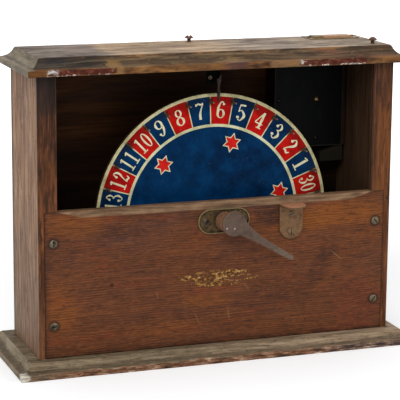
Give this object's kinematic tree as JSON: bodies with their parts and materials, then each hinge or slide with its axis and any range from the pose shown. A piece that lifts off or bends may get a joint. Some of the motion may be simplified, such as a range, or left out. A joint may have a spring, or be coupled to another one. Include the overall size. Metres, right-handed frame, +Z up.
{
  "type": "trade stimulator",
  "caption": "Oak counter-top case with an open front window, a numbered wheel with pegs, a lever on the front, a coin slot in the top and a cash door in the back.",
  "frame": {"origin": "centre of the base's underside", "axes": "+Z up, -Y out of the front with the window and the lever, +X to the right seen from the front, where the coin slot is"},
  "size_m": [0.4, 0.1398, 0.3024],
  "materials": {
    "varnished_oak": "varnished, worn",
    "weathered_oak": "dry, faded varnish",
    "greyed_oak": "bare, dirty",
    "inner_wood": "bare, dark with age",
    "wheel_board": "plain",
    "printed_paper": "printed, satin",
    "old_brass": "dull, dirty",
    "worn_bronze": "brown, rubbed",
    "grey_steel": "grey, worn",
    "bright_steel": "rubbed bright",
    "dark_steel": "dark",
    "black_paint": "black, satin"
  },
  "bodies": {
    "case": {"base_board": "greyed_oak", "base_back_strip": "greyed_oak", "top_board": "greyed_oak", "left_side": "weathered_oak", "right_side": "varnished_oak", "front_panel": "varnished_oak", "back_panel": "inner_wood", "front_panel_screws": "grey_steel", "base_screws": "grey_steel", "back_panel_screws": "grey_steel", "top_screws": "worn_bronze", "axle": "grey_steel", "axle_screw": "grey_steel", "axle_bracket": "dark_steel", "axle_bracket_screws": "grey_steel", "escutcheon": "old_brass", "stop_bracket": "worn_bronze", "hardware_screws": "worn_bronze", "shaft_bushing": "old_brass", "return_spring": "grey_steel", "spring_post": "grey_steel", "stop_pins": "grey_steel", "pointer_bracket": "dark_steel", "pointer_bracket_screws": "worn_bronze", "pointer_pins": "old_brass", "coin_slot_plate": "old_brass", "coin_slot_screws": "worn_bronze", "coin_partition": "inner_wood", "coin_chute": "inner_wood", "coin_cover": "black_paint", "coin_cover_screws": "old_brass", "coin_trip_pin": "grey_steel", "deflector_block": "inner_wood", "cash_tray": "inner_wood", "hinge_frame_leaves": "old_brass", "hinge_pins": "grey_steel", "hinge_frame_screws": "old_brass"},
    "wheel": {"wheel_disc": "wheel_board", "dial_face": "printed_paper", "wheel_pegs": "grey_steel", "wheel_hub": "old_brass", "hub_plate": "old_brass", "hub_screws": "grey_steel", "ratchet_wheel": "grey_steel", "ratchet_rivets": "old_brass"},
    "lever": {"lever_shaft": "grey_steel", "lever_boss": "worn_bronze", "lever_handle": "grey_steel", "lever_pins": "bright_steel", "drive_arm": "dark_steel", "pawl_pin": "grey_steel"},
    "pawl": {"pawl": "grey_steel", "pawl_spring": "dark_steel"},
    "pointer": {"pointer_finger": "dark_steel"},
    "coin_trip": {"coin_trip": "old_brass"},
    "door": {"cash_door": "varnished_oak", "hinge_door_leaves": "old_brass", "hinge_door_screws": "old_brass", "lock_body": "old_brass"},
    "lock": {"lock_cam": "grey_steel"}
  },
  "joints": [
    {"name": "wheel_spin", "type": "hinge", "parent": "case", "child": "wheel", "pos_m": [0.004, -0.0186, 0.1345], "axis": [0, -1, 0], "continuous": true},
    {"name": "lever_lift", "type": "hinge", "parent": "case", "child": "lever", "pos_m": [0.004, -0.065, 0.1345], "axis": [0, -1, 0], "range_deg": [0, 36], "stiffness_Nm_per_rad": 0.03, "springref_deg": -34.38, "deforming": ["return_spring"]},
    {"name": "pawl_drop", "type": "hinge", "parent": "lever", "child": "pawl", "pos_m": [-0.01014, -0.0249, 0.11765], "axis": [0, -1, 0], "range_deg": [-27, 0]},
    {"name": "pointer_swing", "type": "hinge", "parent": "case", "child": "pointer", "pos_m": [0.007, -0.0236, 0.2655], "axis": [0, -1, 0], "range_deg": [-30, 30]},
    {"name": "trip_fall", "type": "hinge", "parent": "case", "child": "coin_trip", "pos_m": [0.11425, 0.0224, 0.232], "axis": [0, 1, 0], "range_deg": [0, 25]},
    {"name": "door_swing", "type": "hinge", "parent": "case", "child": "door", "pos_m": [0.1466, 0.0484, 0.055], "axis": [0, 0, -1], "range_deg": [0, 120]},
    {"name": "lock_turn", "type": "hinge", "parent": "door", "child": "lock", "pos_m": [0.058, 0.0459, 0.055], "axis": [0, -1, 0], "range_deg": [0, 90]}
  ],
  "couplings": [
    {"joint": "pawl_drop", "follows": "lever_lift", "ratio": -0.75}
  ]
}
